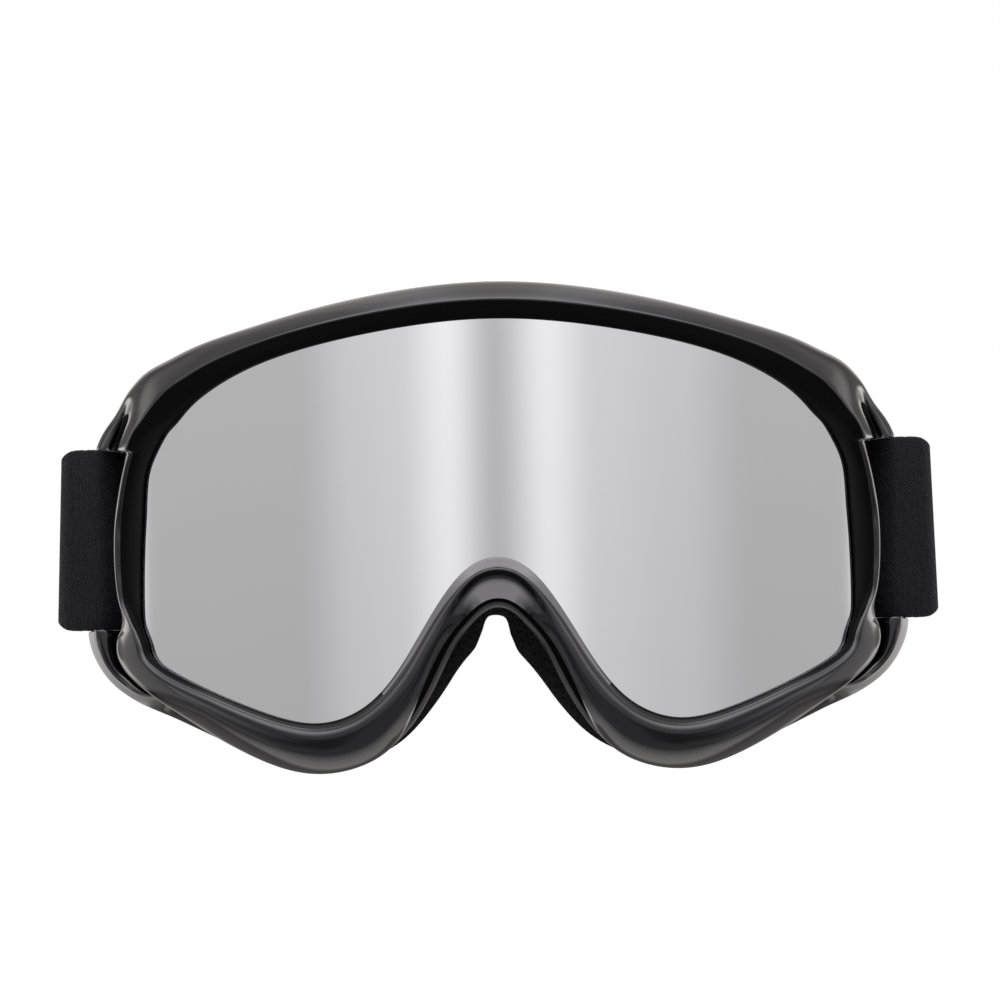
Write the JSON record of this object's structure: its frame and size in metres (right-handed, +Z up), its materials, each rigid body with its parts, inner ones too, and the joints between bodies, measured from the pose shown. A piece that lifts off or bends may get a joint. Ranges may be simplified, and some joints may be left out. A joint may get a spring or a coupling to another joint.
{
  "type": "motorcycle goggles",
  "caption": "Motorcycle goggles: glossy black vented frame around a curved silver mirror lens, foam face seal and an adjustable elastic strap looped on the frame's side bars.",
  "frame": {"origin": "middle of the face seal: on the middle plane, at the strap's mid height, at the back of the foam lining", "axes": "+X to the right in the picture, +Y from the lens towards the wearer, +Z up"},
  "size_m": [0.1928, 0.2348, 0.1033],
  "materials": {
    "frame": "glossy black",
    "lens": "silver mirror coating on clear plastic",
    "foam": "matte open-cell foam",
    "lining": "brushed fleece",
    "webbing": "woven elastic",
    "thread": "sewn thread",
    "slider": "satin",
    "grip": "soft silicone"
  },
  "bodies": {
    "frame": {"frame": "frame", "lens": "lens", "face_foam": "foam", "face_lining": "lining", "vent_foam_top": "foam", "vent_foam_left": "foam", "vent_foam_right": "foam"},
    "left_leg": {"strap_leg_left": "webbing", "strap_run_left": "webbing"},
    "left_slider": {"slider_left": "slider", "strap_end_left": "webbing", "bar_tack_left": "thread"},
    "rear_band": {"strap_rear": "webbing", "strap_grip": "grip"},
    "right_leg": {"strap_leg_right": "webbing", "strap_run_right": "webbing"},
    "right_slider": {"slider_right": "slider", "strap_end_right": "webbing", "bar_tack_right": "thread"}
  },
  "joints": [
    {"name": "left_sway", "type": "hinge", "parent": "frame", "child": "left_leg", "pos_m": [-0.0859, 0.02078, 0], "axis": [0, 0, 1], "range_deg": [-12, 12]},
    {"name": "rear_turn", "type": "hinge", "parent": "left_leg", "child": "rear_band", "pos_m": [-0.0859, 0.12078, 0], "axis": [0, 0, 1], "range_deg": [-12, 12]},
    {"name": "right_turn", "type": "hinge", "parent": "rear_band", "child": "right_leg", "pos_m": [0.0859, 0.12078, 0], "axis": [0, 0, 1], "range_deg": [-12, 12]},
    {"name": "left_slide", "type": "slide", "parent": "left_leg", "child": "left_slider", "axis": [0, 1, 0], "range_m": [-0.01, 0.022], "deforming": ["strap_run_left"]},
    {"name": "right_slide", "type": "slide", "parent": "right_leg", "child": "right_slider", "axis": [0, 1, 0], "range_m": [-0.01, 0.022], "deforming": ["strap_run_right"]}
  ],
  "couplings": [
    {"joint": "rear_turn", "follows": "left_sway", "ratio": -1},
    {"joint": "right_turn", "follows": "left_sway", "ratio": 1}
  ]
}
